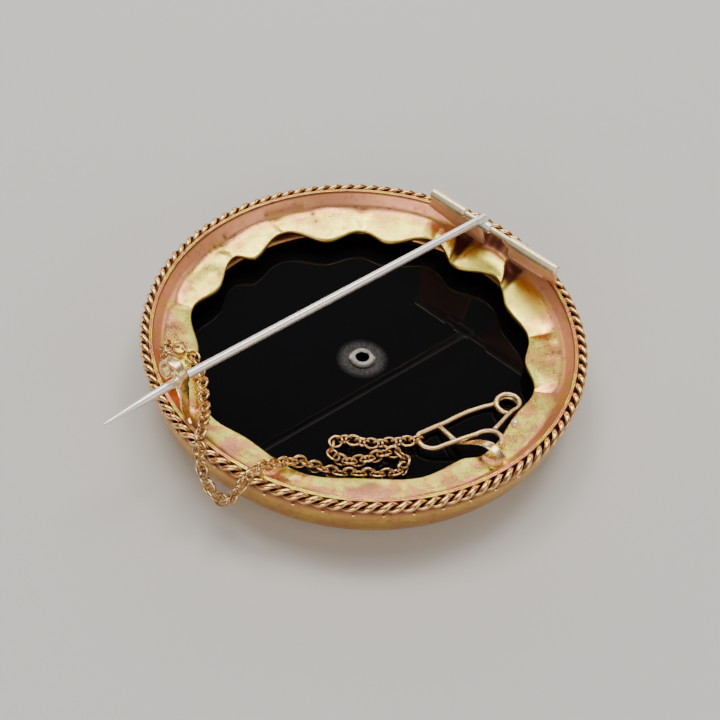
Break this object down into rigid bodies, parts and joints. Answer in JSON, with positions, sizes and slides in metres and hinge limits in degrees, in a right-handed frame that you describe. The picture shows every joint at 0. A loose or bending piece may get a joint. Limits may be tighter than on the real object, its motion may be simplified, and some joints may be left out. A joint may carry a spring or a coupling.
{
  "type": "brooch",
  "caption": "Round black onyx brooch in a gold rope-edged border, lying face down, with its hinged pin, hook catch, safety chain and small safety pin.",
  "frame": {"origin": "middle of the bounding box at the floor, with the brooch face down on it", "axes": "+X towards the pin's hinge, +Z out of the brooch's back, +Y to the left of the hinge seen from the middle"},
  "size_m": [0.058, 0.051, 0.015],
  "materials": {
    "gold": "soft polish with light brushing",
    "onyx": "high polish",
    "silver": "polished",
    "pin_gold": "polished",
    "chain_gold": "polished"
  },
  "bodies": {
    "brooch": {"frame": "gold", "onyx": "onyx", "rivet": "silver", "hinge_wire": "gold", "jump_ring": "chain_gold", "chain": "chain_gold", "safety_pin": "chain_gold"},
    "pin": {"pin_stem": "pin_gold"}
  },
  "joints": [
    {"name": "pin_swing", "type": "hinge", "parent": "brooch", "child": "pin", "pos_m": [0.02337, -0.00055, 0.0115], "axis": [0, 1, 0], "range_deg": [0, 110]}
  ]
}
